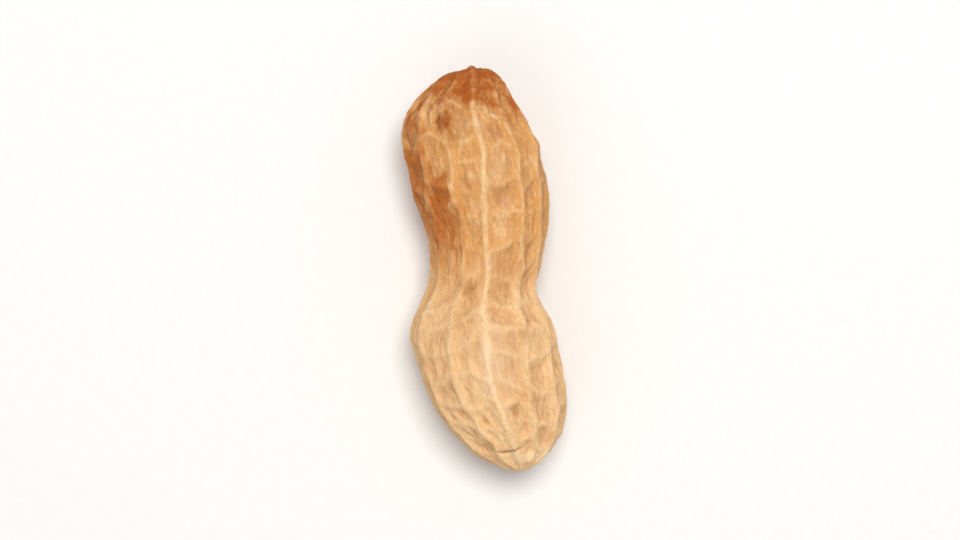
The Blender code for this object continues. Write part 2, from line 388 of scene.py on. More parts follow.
            "fibres": {"stretch": (0.40, 4.6, 4.6), "detail": 6.0, "roughness": 0.68, "distortion": 0.3},
            "paleFibres": {"stretch": (0.60, 7.2, 7.2), "detail": 4.0, "roughness": 0.6, "distortion": 0.2},
            "freckles": {"stretch": (1.6, 3.0, 3.0), "scale": 1.35, "detail": 4.0, "roughness": 0.75},
            "micro": {"stretch": (2.4, 7.5, 7.5), "detail": 6.0, "roughness": 0.7},
        },
        # how one thing breaks up another: what it runs from and to, and what that turns into, 0 to 1
        # if not given
        "breakUp": {
            "blotches": (0.36, 0.66),
            "cell": (0.0, 1.0, 0.55, 1.0),
            "cellTowardsBeak": (0.0, 1.0, 1.0, 0.72),
            "soil": (0.54, 0.70),
            "soilInHollows": (0.0, 0.6, 0.25, 1.0),
            "pale": (0.34, 0.60, 0.30, 1.0),
            "strand": (0.40, 0.60),
            "dust": (0.25, 0.60, 0.4, 1.0),
        },
        # the washes of colour in the order in which they are laid over each other: how strong each is,
        # and where its mask starts (low) and is full (high), 0 to 1 if not given
        "washes": {
            "clouds": {"colour": "warmCloud", "strength": 0.55, "low": 0.46, "high": 0.72},
            "paleClouds": {"colour": "dust", "strength": 0.45, "low": 0.50, "high": 0.72},
            "cell": {"colour": "cell", "strength": 0.80, "high": 1.5},
            # darker in the hollows of the relief: partly dirt, partly painted shade
            "hollow": {"colour": "cell", "strength": 0.60, "high": 0.9},
            "soil": {"colour": "soil", "strength": 0.45},
            "pale": {"colour": "pale", "strength": 0.60},
            "proud": {"colour": "dust", "strength": 0.25, "low": 0.1},
            "strand": {"colour": "dust", "strength": 0.22, "low": 0.2},
            "fibres": {"colour": "fibre", "strength": 0.45, "low": 0.47, "high": 0.70},
            "paleFibres": {"colour": "dust", "strength": 0.40, "low": 0.52, "high": 0.72},
            "freckles": {"colour": "freckle", "strength": 0.50, "low": 0.60, "high": 0.70},
            "pit": {"colour": "freckle", "strength": 0.75, "low": 0.25, "high": 0.95},
            # pale dust, and a painted highlight on the tops of the lobes
            "dust": {"colour": "dustAndHighlight", "strength": 0.42},
            # the stem end's red-brown stain, with painted shade over the stem end and its two edges
            "stemStainAndShade": {"colour": "stemStainAndShade", "strength": 0.95, "blend": "MULTIPLY"},
            # painted shade and painted reflected light on the left flank, and the brown blots on the
            # underside, which are real stains
            "flankShadeAndStain": {"colour": "flankShadeAndStain", "strength": 0.9, "blend": "MULTIPLY"},
            # painted shade in the hollows on the upper side
            "hollowShade": {"colour": "hollowShade", "strength": 0.95, "blend": "MULTIPLY"},
            "scar": {"colour": "scar", "strength": 0.8, "blend": "MULTIPLY"},
            # pale flakes and painted highlights
            "flakeAndHighlight": {"colour": "pale", "strength": 0.6},
            "lip": {"colour": "pale", "strength": 0.85},
            "stubTop": {"colour": "pale", "strength": 0.5},
            # painted shade inside the split across the beak
            "groove": {"colour": "split", "strength": 0.60, "low": 0.3, "high": 0.95},
        },
        "roughness": (0.3, 0.8, 0.72, 0.94),  # what the fibres run from and to, and the roughness there
        "specular": 0.12,
        "bumpStrength": 0.9,
        "bumpDepth": 0.14,
        "bumpShares": {"fibres": 0.65, "micro": 0.45, "paleFibres": 0.35},
    },
}
pod, net, fine = podShell["pod"], podShell["net"], podShell["fine"]
skin, split, maskRanges = podShell["skin"], podShell["split"], podShell["masks"]
patterns, stainsAndPaintedLight, finish = podShell["patterns"], podShell["stainsAndPaintedLight"], podShell["finish"]

# How far across the gap between two long veins each of its columns lies
acrossGap = np.arange(fine["columnsPerGap"])[None, :] / fine["columnsPerGap"]


def podRadius(share):
    stemAt, waistAt, beakAt = pod["stemLobeAt"], pod["waistAt"], pod["beakLobeAt"]
    stemEnd = np.sqrt(np.clip(1 - (1 - share / stemAt) ** 2, 0, 1))
    pastLobe = np.clip((share - beakAt) / (1 - beakAt), 0, 1)
    beakEnd = (1 - pastLobe ** pod["beakBluntness"]) ** (1 / pod["beakBluntness"])
    toWaist = 0.5 - 0.5 * np.cos(math.pi * np.clip((share - stemAt) / (waistAt - stemAt), 0, 1))
    fromWaist = 0.5 - 0.5 * np.cos(math.pi * np.clip((share - waistAt) / (beakAt - waistAt), 0, 1))
    ramps = pod["stemLobeRadius"] + (pod["waistRadius"] - pod["stemLobeRadius"]) * toWaist
    ramps = ramps + (pod["beakLobeRadius"] - pod["waistRadius"]) * fromWaist
    return ramps * np.where(share < stemAt, stemEnd, 1) * beakEnd


def lengthTable():  # how far it is over the surface from the stem end, at many shares of the length
    share = 0.5 - 0.5 * np.cos(np.linspace(0, math.pi, fine["profileSteps"]))
    steps = np.hypot(np.diff(share) * pod["length"], np.diff(podRadius(share)))
    return share, np.concatenate([[0.0], np.cumsum(steps)])


def veinPaleness(number, halfCount):
    if number % halfCount == 0:
        return maskRanges["suturePale"]
    if number % halfCount in (1, halfCount - 1):
        return maskRanges["besideSuturePale"]
    return maskRanges["veinPale"]


# The long veins, each with the cross veins in the gap after it. The solid takes the same draws.
def growVeins(draw, surfaceLength):
    spacing = net["crossSpacing"]
    halfCount = net["veinCount"] // 2
    veins = []
    for number in range(net["veinCount"]):
        suture = number % halfCount == 0
        vein = {
            "angle": math.pi / 2 + 2 * math.pi * number / net["veinCount"],
            "wander": math.radians(net["sutureWander"] if suture else net["veinWander"]),
            "phase": draw.uniform(0, 2 * math.pi),
            "waves": draw.uniform(*net["veinWaves"]),
            "height": net["sutureHeight"],
            "suture": suture,
            "loose": fine["sutureStray"] if suture else 1.0,
            "pale": veinPaleness(number, halfCount),
            "cross": [],
        }
        if not suture:
            vein["height"] = net["veinHeight"] * draw.uniform(*net["veinUneven"])
            vein["angle"] += math.radians(draw.uniform(-net["veinJitter"], net["veinJitter"]))
        along = spacing * draw.uniform(*net["crossStart"])
        while along < surfaceLength - spacing / 2:
            slope = draw.uniform(-net["crossSlope"], net["crossSlope"])
            height = net["crossHeight"] * draw.uniform(*net["crossUneven"])
            vein["cross"].append({"along": along, "slope": slope, "height": height})
            along += spacing * draw.uniform(*net["crossStep"])
        veins.append(vein)
    return veins


def veinAngle(vein, share):
    wander = vein["wander"] * np.sin(2 * math.pi * vein["waves"] * share + vein["phase"])
    return vein["angle"] - np.radians(curveThrough(net["turn"], share)) + wander


def columnAngles(veins, share):  # the columns of the mesh follow the long veins
    columns = []
    count = len(veins)
    for number, vein in enumerate(veins):
        start = veinAngle(vein, share)
        end = veinAngle(veins[(number + 1) % count], share) + (2 * math.pi if number == count - 1 else 0)
        for step in range(fine["columnsPerGap"]):
            columns.append(start + (end - start) * step / fine["columnsPerGap"])
    return np.stack(columns, axis=1)


def smoothPod(share, angles):
    turn = math.radians(pod["ovalityStart"]) + math.radians(pod["ovalityTurn"]) * share[:, None]
    radius = podRadius(share)[:, None] * (1 + pod["ovality"] * np.cos(2 * angles + turn))
    middle = curveThrough(pod["sideBend"], share)[:, None]
    x = np.repeat((pod["length"] * (share - 0.5))[:, None], angles.shape[1], axis=1)
    y = middle + radius * np.cos(angles)
    reach = (pod["beakLobeAt"] - pod["stemLobeAt"]) / 3  # the waist's rise dies out in the lobes
    rise = pod["waistRise"] * bell(share - pod["waistAt"], reach)[:, None]
    z = rise + pod["heightToWidth"] * radius * np.sin(angles)
    return np.stack([x, y, z], axis=2)


def outward(points):
    along = np.gradient(points, axis=0)
    around = np.roll(points, -1, axis=1) - np.roll(points, 1, axis=1)
    normal = np.cross(around, along)
    return normal / np.linalg.norm(normal, axis=2, keepdims=True)


def ridgeShape(distance, width):  # a vein's section: a narrow cord on a wide swelling
    cord = fine["cordShare"]
    return (1 - cord) * crest(distance, width) + cord * bell(distance, fine["cordWidth"])


def gapWidth(veins, number, share):  # how far it is from one long vein to the next, on the surface
    after = veins[(number + 1) % len(veins)]
    return ((veinAngle(after, share) - veinAngle(veins[number], share)) % (2 * math.pi)) * podRadius(share)


# How far each long vein strays from its column: a waver, and a kink towards each cross vein it meets
def strayVeins(veins, rows, gaps):
    strays = []
    for number, vein in enumerate(veins):
        stray = fine["veinWaver"] * lineWaver(rows, patterns["veinWaver"] + number, fine["veinWaverSize"])
        for side, owner, end in ((1, number, -0.5), (-1, number - 1, 0.5)):
            for cross in veins[owner]["cross"]:
                meets = cross["along"] + end * cross["slope"] * gaps[owner]
                pull = fine["veinKink"] * cross["height"] / net["crossHeight"]
                stray = stray + side * pull * bell(rows - meets, fine["kinkReach"])
        strays.append(stray * vein["loose"])
    return strays


# The two long veins beside a gap: how high they are across it, and how pale
def longVeins(veins, number, rows, gap, strays):
    nextNumber = (number + 1) % len(veins)
    left = np.abs(acrossGap * gap - strays[number][:, None])
    right = np.abs((1 - acrossGap) * gap + strays[nextNumber][:, None])
    height = np.zeros(left.shape)
    pale = np.zeros(left.shape)
    for side, k in ((left, number), (right, nextNumber)):
        breaks = lineWaver(rows, patterns["veinBreaks"] + k, fine["veinBreakSize"])
        uneven = 1 + fine["veinBreaks"] * veins[k]["loose"] * breaks
        swell = 1 + fine["veinSwell"] * lineWaver(rows, patterns["veinSwell"] + k, fine["veinSwellSize"])
        here = ridgeShape(side, net["veinWidth"] * swell[:, None]) * uneven[:, None]
        height = np.maximum(height, veins[k]["height"] * here)
        pale = np.maximum(pale, veins[k]["pale"] * here)
    return height, pale


# The cross veins in a gap: how high they are, and how many of them lie before each point
def crossVeins(vein, number, rows, gap):
    height = np.zeros((len(rows), fine["columnsPerGap"]))
    passed = np.zeros(height.shape, dtype=int)
    sag = 1 - fine["crossSag"] * np.sin(math.pi * acrossGap)
    for order, cross in enumerate(vein["cross"]):
        pattern = patterns["crossWaver"] + patterns["crossWaverStep"] * number + order
        wobble = fine["crossWaver"] * lineWaver(acrossGap[0] * fine["crossBends"], pattern)[None, :]
        line = cross["along"] + cross["slope"] * (acrossGap - 0.5) * gap + wobble
        ridge = ridgeShape(rows[:, None] - line, net["crossWidth"])
        height = np.maximum(height, cross["height"] * sag * ridge)
        passed += rows[:, None] > line
    return height, passed


def midVein(number, rows, gap):  # a low vein that comes and goes along the middle of a gap
    path = lineWaver(rows, patterns["midVeinPath"] + number, fine["midVeinStraySize"])
    middleLine = 0.5 + fine["midVeinStray"] * path[:, None]
    runs = lineWaver(rows, patterns["midVeinRuns"] + number, fine["midVeinRunSize"])
    present = smoothstep(fine["midVeinPresence"] + fine["midVeinContrast"] * runs)[:, None]
    return fine["midVeinHeight"] * present * bell((acrossGap - middleLine) * gap, fine["midVeinWidth"])


# The height of the net over the smooth pod at every point, how pale each point of it is, how deep
# in a cell each point lies, and a shade for the cell that it is in
def netHeight(veins, rows, share, grain):
    gaps = [gapWidth(veins, number, share) for number in range(len(veins))]
    strays = strayVeins(veins, rows, gaps)
    crossBreak = 1 + fine["crossBreaks"] * noiseAt(grain, fine["crossBreakSize"], patterns["crossBreaks"])
    crossBreak = np.split(crossBreak, len(veins), axis=1)
    stronger = smoothstep((share - fine["calmUntil"]) / fine["calmFade"])[:, None]
    toneDraw = random.Random(fine["toneSeed"])
    merge = fine["ridgeMerge"]
    height, pale, tones = [], [], []
    for number, vein in enumerate(veins):
        gap = gaps[number][:, None]
        longHigh, longPale = longVeins(veins, number, rows, gap, strays)
        crossHigh, passed = crossVeins(vein, number, rows, gap)
        crossHigh *= crossBreak[number]
        if number == fine["calmGap"]:
            crossHigh *= between(fine["calmCross"], 1, stronger)
        middleHigh = midVein(number, rows, gap)
        height.append((longHigh**merge + crossHigh**merge + middleHigh**merge) ** (1 / merge))
        pale.append(np.maximum(longPale, maskRanges["crossPale"] * crossHigh / net["crossHeight"]))
        shades = np.array([toneDraw.uniform(-1, 1) for _ in range(len(vein["cross"]) + 1)])
        tones.append(shades[passed])
    raised = soften(np.hstack(height), fine["netSoftening"])
    deep = smoothstep((fine["floorBelow"] - raised) / fine["floorFade"])
    return raised, np.hstack(pale), deep, np.hstack(tones)


def keelHeight(veins, share):  # the low swelling that the suture stands on
    keels = []
    for number, vein in enumerate(veins):
        gap = gapWidth(veins, number, share)[:, None]
        after = veins[(number + 1) % len(veins)]
        fromVein = vein["suture"] * bell(acrossGap * gap, net["keelHalfWidth"])
        fromNext = after["suture"] * bell((1 - acrossGap) * gap, net["keelHalfWidth"])
        keels.append(net["keelHeight"] * (fromVein + fromNext))
    return np.hstack(keels)


def lumps(points, draw):
    height = np.zeros(points.shape[:2])
    for _ in range(pod["lumpWaves"]):
        way = np.array([draw.gauss(0, 1) for _ in range(3)])
        way *= 2 * math.pi / pod["lumpSize"] / np.linalg.norm(way) * draw.uniform(*pod["lumpUneven"])
        height += np.sin(points @ way + draw.uniform(0, 2 * math.pi))
    return height * pod["lumpHeight"] / math.sqrt(pod["lumpWaves"])


def skinDetail(grain, deep):
    floor = between(skin["crestShare"], 1, deep)
    patches = noiseAt(grain, skin["pitPatchSize"], patterns["pitPatches"])
    patches = smoothstep(skin["pitPatchPresence"] + skin["pitPatchContrast"] * patches)
    drift = np.stack([noiseAt(grain, skin["driftSize"], k) for k in patterns["drift"]], axis=2)
    buckles = noiseAt(grain + skin["buckleDrift"] * drift, skin["buckleSize"], patterns["buckles"])
    strands = noiseAt(grain + skin["strandDrift"] * drift, skin["strandSize"], patterns["strands"])
    strands = 1 - skin["strandSharpness"] * np.abs(strands)
    wrinkles = noiseAt(grain + skin["wrinkleDrift"] * drift, skin["wrinkleSize"], patterns["wrinkles"])
    rough = noiseAt(grain, skin["grainSize"], patterns["grain"])
    rough = rough + skin["finerGrain"] * noiseAt(grain, skin["grainSize"] / 2, patterns["finerGrain"])
    pitNear = nearestSpeck(grain + skin["pitDrift"] * drift, skin["pitSpacing"], patterns["pits"])
    pits = bell(pitNear, skin["pitRadius"]) * (between(skin["pitCrestShare"], 1, deep) * patches)
    height = (
        skin["buckleHeight"] * buckles * floor
        + skin["strandHeight"] * np.maximum(strands, skin["strandLow"]) * floor
        + skin["wrinkleHeight"] * wrinkles
        + skin["grainHeight"] * rough
        - skin["pitDepth"] * pits
    )
    return height, np.clip(strands, 0, 1), pits


def shapeEnds(points, middle):  # the beak at +X, the scar with its broken stub at -X
    offAxis = np.hypot(points[..., 1] - middle, points[..., 2])
    atBeak = points[..., 0] > 0
    nose = np.where(atBeak, bell(offAxis, pod["beakRadius"]), 0)
    scar = np.where(atBeak, 0, bell(offAxis, pod["scarRadius"]))
    stub = np.where(atBeak, 0, bell(offAxis, pod["stubRadius"]))
    points = points.copy()
    points[..., 0] += pod["beakLength"] * nose
    points[..., 0] += pod["scarDepth"] * scar - pod["stubHeight"] * stub
    points[..., 2] += pod["beakHook"] * nose
    return points


def upperSide(height):  # 1 on the upper side of the pod as it lies, 0 on the rest
    return smoothstep((height - stainsAndPaintedLight["upperFrom"]) / stainsAndPaintedLight["upperFade"])


def darkHollows(points):  # where the hollows on the upper side lie, which are sunk a little and darkened with painted shade; points are on the pod as it lies
    top = upperSide(points[..., 2])
    hollows = np.zeros(points.shape[:-1])
    for atX, atY, size, strength in stainsAndPaintedLight["hollows"]:
        away = np.hypot((points[..., 0] - atX) * stainsAndPaintedLight["hollowNarrowing"], points[..., 1] - atY)
        hollows = np.maximum(hollows, strength * bell(away, size) * top)
    return hollows


def nearRest(points):  # 1 where a lobe touches the table, 0 away from there
    share = 0.5 + points[..., 0] / pod["length"]
    spots = np.zeros(points.shape[:2])
    for lobe in ("stemLobe", "beakLobe"):
        side = curveThrough(pod["sideBend"], np.array([pod[lobe + "At"]]))[0]
        away = np.stack([
            (share - pod[lobe + "At"]) * pod["length"],
            points[..., 1] - side,
            points[..., 2] + pod["heightToWidth"] * pod[lobe + "Radius"],
        ])
        spots = np.maximum(spots, bell(np.linalg.norm(away, axis=0), pod["flatFade"]))
    return spots


# Tips the plain pod until both lobes touch the table, and returns the same move for any points
def restingMove(plain):
    waistX = pod["length"] * (pod["waistAt"] - 0.5)
    flat = plain.reshape(-1, 3)
    stem = flat[flat[:, 0] < waistX]
    beak = flat[flat[:, 0] >= waistX]
    lowStem, lowBeak = stem[stem[:, 2].argmin()], beak[beak[:, 2].argmin()]
    tip = math.atan2(lowBeak[2] - lowStem[2], lowBeak[0] - lowStem[0])
    turn = np.array([[math.cos(tip), 0, -math.sin(tip)], [0, 1, 0], [math.sin(tip), 0, math.cos(tip)]])
    turned = flat @ turn
    low, high = turned.min(0), turned.max(0)
    shift = np.array([(low[0] + high[0]) / 2, (low[1] + high[1]) / 2, low[2] + pod["flatDepth"]])
    return lambda points: points @ turn - shift


def beakSplit(points):  # where the split and its lip are; points are on the pod before it is tipped
    atX, atY = split["at"]
    above = smoothstep(points[..., 2] / split["upperFade"])
    stray = split["stray"] * noiseAt(points, split["straySize"], patterns["split"])
    sideways = points[..., 1] - atY
    bow = points[..., 0] - atX + split["bow"] * sideways**2 + stray
    inside = split["halfLength"] - np.abs(sideways) + split["strayAtEnds"] * stray
    groove = bell(bow, split["width"]) * smoothstep(inside / split["endFade"]) * above
    lipSideways = points[..., 1] - split["lipSide"]
    lipBow = points[..., 0] - atX + split["lipBow"] * lipSideways**2 + stray
    lipInside = split["lipHalfLength"] - np.abs(lipSideways)
    lip = bell(lipBow - split["lipBeyond"], split["lipWidth"]) * smoothstep(lipInside / split["lipEndFade"])
    return groove, lip * above * (split["lipEvenness"] + split["strayAtEnds"] * stray)


def reliefMasks(share, fade, pale, cells, relief):
    towardsBeak = smoothstep((share - maskRanges["beakLobeFrom"]) / maskRanges["beakLobeFade"])[:, None]
    paleNet = smoothstep((pale * fade - maskRanges["paleFrom"]) / maskRanges["paleFade"])
    sunk = soften(relief, maskRanges["hollowSoftening"]) - relief
    risen = relief - soften(relief, maskRanges["proudSoftening"])
    return {
        "pale": paleNet * between(maskRanges["stemLobePale"], 1, towardsBeak),
        "cell": cells * fade,
        "hollow": np.clip(sunk / maskRanges["hollowFull"], 0, 1),
        "proud": np.clip(risen / maskRanges["proudFull"], 0, 1),
    }


# Everything about the shell's surface: where its points are and the masks that its finish uses.
# The grain is where each point lies lengthwise and around the pod, so that patterns follow the shell.
def shellSurface():
    draw = random.Random(pod["seed"])
    tableShare, tableAlong = lengthTable()
    surfaceLength = tableAlong[-1]
    rows = np.arange(1, fine["rows"] + 1) * (surfaceLength / (fine["rows"] + 1))
    share = np.interp(rows, tableAlong, tableShare)
    radius = podRadius(share)[:, None]
    veins = growVeins(draw, surfaceLength)
    angles = columnAngles(veins, share)
    smooth = smoothPod(share, angles)
    normal = outward(smooth)
    fade = smoothstep(rows / net["stemFade"]) * smoothstep((surfaceLength - rows) / net["beakFade"])
    fade = fade[:, None]
    calm = 1 - pod["flatSmoothing"] * nearRest(smooth)
    along = np.repeat(rows[:, None], angles.shape[1], axis=1)
    grain = np.stack([along, radius * np.cos(angles), radius * np.sin(angles)], axis=2)
    raised, pale, deep, tone = netHeight(veins, rows, share, grain)
    raised = (raised + keelHeight(veins, share) - net["cellDepth"]) * fade
    slow = lumps(smooth, draw)
    detail, strands, pits = skinDetail(grain, deep)
    cells = soften(deep * (1 + skin["dimpleUneven"] * tone), skin["dimpleSoftening"])
    detail = detail - skin["dimpleDepth"] * cells
    print("shell: relief worked out")

    middle = curveThrough(pod["sideBend"], share)[:, None]
    plain = shapeEnds(smooth + normal * (raised * calm + slow)[..., None], middle)
    groove, lip = beakSplit(plain)
    poleSides = np.array([pod["sideBend"][0][1], pod["sideBend"][-1][1]])
    half = pod["length"] / 2
    poles = shapeEnds(np.array([[-half, poleSides[0], 0], [half, poleSides[1], 0]]), poleSides)
    rest = restingMove(np.concatenate([plain.reshape(-1, 3), poles]))

    edge = between(skin["endShare"], 1, fade)
    extra = detail * calm * edge - split["depth"] * groove + split["lipHeight"] * lip
    extra = extra - stainsAndPaintedLight["hollowDepth"] * darkHollows(rest(plain))
    full = shapeEnds(smooth + normal * (raised * calm + slow + extra)[..., None], middle)
    points = rest(np.concatenate([full.reshape(-1, 3), poles]))
    points[:, 2] = np.maximum(points[:, 2], 0)  # the flat spots under the lobes
    masks = reliefMasks(share, fade, pale, cells, raised + extra)
    masks.update({"strand": strands, "pit": pits, "groove": groove, "lip": lip})
    return points, grain, masks


def patchMask(patch, onShell, top, ragged):
    patch = {**stainsAndPaintedLight["plainPatch"], **patch}
    aside = onShell[..., 1] - patch["at"][1]
    along = onShell[..., 0] - patch["at"][0] - patch["slant"] * aside
    away = np.hypot(along / patch["reach"][0], aside / patch["reach"][1])
    stain = smoothstep((stainsAndPaintedLight["patchEdge"] - away + patch["ragged"] * ragged) / patch["softness"])
    return patch["strength"] * stain * (top if patch["upper"] else 1)


def stainAndPaintedLightMasks(points, grain):
    onShell = points[:-2].reshape(grain.shape)  # all but the two poles
    top = upperSide(onShell[..., 2])
    fromStem = grain[..., 0]
    ragged = noiseAt(grain, stainsAndPaintedLight["raggedSize"], patterns["ragged"])
    finer = noiseAt(grain, stainsAndPaintedLight["finerRaggedSize"], patterns["finerRagged"])
    ragged = ragged + stainsAndPaintedLight["finerRagged"] * finer
    masks = {}
    for name in ("stemStainAndShade", "flankShadeAndStain", "dust", "flakeAndHighlight"):
        masks[name] = np.max([patchMask(patch, onShell, top, ragged) for patch in stainsAndPaintedLight[name]], axis=0)
    # the cap at the stem end: a red-brown stain, darkened further with painted shade
    cap = stainsAndPaintedLight["capLength"] - fromStem + stainsAndPaintedLight["capRagged"] * ragged
    cap = smoothstep(cap / (stainsAndPaintedLight["capFade"] * stainsAndPaintedLight["capLength"]))
    masks["stemStainAndShade"] = np.maximum(masks["stemStainAndShade"], stainsAndPaintedLight["capStrength"] * cap)
    # the brown blots on the underside are real stains, laid into the same mask as the flank's painted shade
    blots = noiseAt(grain, stainsAndPaintedLight["blotSize"], patterns["blots"]) + stainsAndPaintedLight["blotRagged"] * ragged
    blots = smoothstep((blots - stainsAndPaintedLight["blotFrom"]) / stainsAndPaintedLight["blotFade"]) * (1 - top)
    masks["flankShadeAndStain"] = np.maximum(masks["flankShadeAndStain"], stainsAndPaintedLight["blotStrength"] * blots)
    # painted shade in the hollows
    masks["hollowShade"] = darkHollows(onShell) * (stainsAndPaintedLight["hollowEvenness"] + stainsAndPaintedLight["hollowRagged"] * ragged)
    scarUneven = stainsAndPaintedLight["scarEvenness"] + stainsAndPaintedLight["scarRagged"] * ragged
    masks["scar"] = bell(fromStem - stainsAndPaintedLight["scarRing"], stainsAndPaintedLight["scarRingWidth"]) * scarUneven
    masks["stubTop"] = bell(fromStem, stainsAndPaintedLight["stubTopWidth"]) * scarUneven
    return masks


def closedMesh(name, points, ringCount, columnCount):  # rings of points, and a pole at each end
    ring = np.arange(ringCount - 1)[:, None] * columnCount
    column = np.arange(columnCount)[None, :]
    beside = (column + 1) % columnCount
    ahead = ring + columnCount
    quads = np.stack([ring + column, ring + beside, ahead + beside, ahead + column], axis=2)
    stemPole, beakPole = ringCount * columnCount, ringCount * columnCount + 1
    last = (ringCount - 1) * columnCount
    faces = quads[:, :, ::-1].reshape(-1, 4).tolist()
    faces += [(stemPole, k, (k + 1) % columnCount) for k in range(columnCount)]
    faces += [(beakPole, last + (k + 1) % columnCount, last + k) for k in range(columnCount)]
    mesh = bpy.data.meshes.new(name)
    mesh.from_pydata((points * mm).tolist(), [], faces)
    mesh.shade_smooth()
    return mesh


def paint(mesh, name, values):  # the two poles take the mean of the ring beside them
    attribute = mesh.attributes.new(name, "FLOAT", "POINT")
    poles = [values[0].mean(), values[-1].mean()]
    attribute.data.foreach_set("value", np.concatenate([values.reshape(-1), poles]).astype(np.float32))


def paintGrain(mesh, grain):
    ends = np.array([[0.0, 0.0, 0.0], [grain[-1, 0, 0], 0.0, 0.0]])
    attribute = mesh.attributes.new("grain", "FLOAT_VECTOR", "POINT")
    vectors = np.concatenate([grain.reshape(-1, 3), ends]).astype(np.float32)
    attribute.data.foreach_set("vector", vectors.reshape(-1))


# A small bench for building materials: each call adds its nodes and returns the socket that matters
class NodeBench:
    def __init__(self, material):
        material.use_nodes = True
        self.tree = material.node_tree
        self.tree.nodes.clear()

    def add(self, kind, **settings):
        made = self.tree.nodes.new(kind)
        for name, value in settings.items():
            setattr(made, name, value)
        return made

    def feed(self, socket, value):
        if isinstance(value, bpy.types.NodeSocket):
            self.tree.links.new(value, socket)
        else:
            socket.default_value = value

    def attribute(self, name):
        return self.add("ShaderNodeAttribute", attribute_type="GEOMETRY", attribute_name=name)

    def mask(self, name):
        return self.attribute(name).outputs["Fac"]

    def noise(self, vector, scale=1.0, detail=4.0, roughness=0.55, distortion=0.0):
        made = self.add("ShaderNodeTexNoise")
        self.feed(made.inputs["Vector"], vector)
        made.inputs["Scale"].default_value = scale
        made.inputs["Detail"].default_value = detail
        made.inputs["Roughness"].default_value = roughness
        made.inputs["Distortion"].default_value = distortion
        return made.outputs["Fac"]

    def grainNoise(self, stretch, **settings):
        scaled = self.add("ShaderNodeVectorMath", operation="MULTIPLY")
        self.feed(scaled.inputs[0], self.attribute("grain").outputs["Vector"])
        scaled.inputs[1].default_value = stretch
        return self.noise(scaled.outputs[0], **settings)

    def spread(self, value, low, high, outLow=0.0, outHigh=1.0):
        made = self.add("ShaderNodeMapRange", interpolation_type="SMOOTHSTEP", clamp=True)
        self.feed(made.inputs["Value"], value)
        made.inputs["From Min"].default_value = low
        made.inputs["From Max"].default_value = high
        made.inputs["To Min"].default_value = outLow
        made.inputs["To Max"].default_value = outHigh
        return made.outputs["Result"]

    def join(self, operation, first, second):
        made = self.add("ShaderNodeMath", operation=operation)
        self.feed(made.inputs[0], first)
        self.feed(made.inputs[1], second)
        return made.outputs[0]

    def tint(self, amount, under, over, blend="MIX"):
        made = self.add("ShaderNodeMix", data_type="RGBA", blend_type=blend, clamp_factor=True)
        self.feed(made.inputs[0], amount)
        for socket, value in ((made.inputs[6], under), (made.inputs[7], over)):
            self.feed(socket, value if isinstance(value, bpy.types.NodeSocket) else (*value, 1.0))
        return made.outputs[2]


# The masks that something else breaks up. The other washes take a mask of the mesh, or a noise, as it is.
def brokenMasks(bench, noises, towardsBeak):
    breakUp = finish["breakUp"]
    blotches = bench.spread(noises["blotches"], *breakUp["blotches"])
    cell = bench.join("MULTIPLY", bench.mask("cell"), bench.spread(blotches, *breakUp["cell"]))
    cell = bench.join("MULTIPLY", cell, bench.spread(towardsBeak, *breakUp["cellTowardsBeak"]))
    soil = bench.spread(noises["soil"], *breakUp["soil"])
    inHollows = bench.spread(bench.mask("hollow"), *breakUp["soilInHollows"])
    masks = {
        "cell": cell,
        # the hollows of the relief, where the wash lays partly dirt and partly painted shade
        "hollow": bench.join("MULTIPLY", bench.mask("hollow"), blotches),
        "soil": bench.join("MULTIPLY", soil, inHollows),
    }
    for name in ("pale", "strand", "dust"):
        breaks = bench.spread(noises["broken"], *breakUp[name])
        masks[name] = bench.join("MULTIPLY", bench.mask(name), breaks)
    return masks


def layWash(bench, mask, under, colour, strength, low=0.0, high=1.0, blend="MIX"):
    amount = bench.spread(mask, low, high, 0.0, strength)
    return bench.tint(amount, under, finish["colours"][colour], blend)


def shellMaterial():
    material = bpy.data.materials.new("dryPeanutShell")
    bench = NodeBench(material)
    noises = {name: bench.grainNoise(**settings) for name, settings in finish["noises"].items()}
    towardsBeak = bench.spread(bench.mask("lengthShare"), *finish["lobeChange"])
    colour = bench.tint(towardsBeak, finish["colours"]["stemLobe"], finish["colours"]["beakLobe"])
    ready = {**noises, **brokenMasks(bench, noises, towardsBeak)}
    for name, wash in finish["washes"].items():
        mask = ready[name] if name in ready else bench.mask(name)
        colour = layWash(bench, mask, colour, **wash)

    parts = [bench.join("MULTIPLY", noises[name], share) for name, share in finish["bumpShares"].items()]
    surface = bench.join("ADD", bench.join("ADD", parts[0], parts[1]), parts[2])
    bump = bench.add("ShaderNodeBump")
    bump.inputs["Strength"].default_value = finish["bumpStrength"]
    bump.inputs["Distance"].default_value = finish["bumpDepth"] * mm
    bench.feed(bump.inputs["Height"], surface)

    shader = bench.add("ShaderNodeBsdfPrincipled")
    bench.feed(shader.inputs["Base Color"], colour)
    bench.feed(shader.inputs["Roughness"], bench.spread(noises["fibres"], *finish["roughness"]))
    bench.feed(shader.inputs["Normal"], bump.outputs["Normal"])
    shader.inputs["Specular IOR Level"].default_value = finish["specular"]
    output = bench.add("ShaderNodeOutputMaterial")
    bench.feed(output.inputs["Surface"], shader.outputs["BSDF"])
    return material


def makeShell():
    points, grain, masks = shellSurface()
    ringCount, columnCount = grain.shape[:2]
    mesh = closedMesh("podShell", points, ringCount, columnCount)
    for name, values in {**masks, **stainAndPaintedLightMasks(points, grain)}.items():
        paint(mesh, name, values)
    lengthShare = np.repeat((grain[:, :1, 0] / grain[-1, 0, 0]), columnCount, axis=1)
    paint(mesh, "lengthShare", lengthShare)
    paintGrain(mesh, grain)
    mesh.materials.append(shellMaterial())
    shell = bpy.data.objects.new("podShell", mesh)
    bpy.context.scene.collection.objects.link(shell)
    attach(shell, "root")
    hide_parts("pod")
    print("shell: made, with", len(mesh.polygons), "faces")


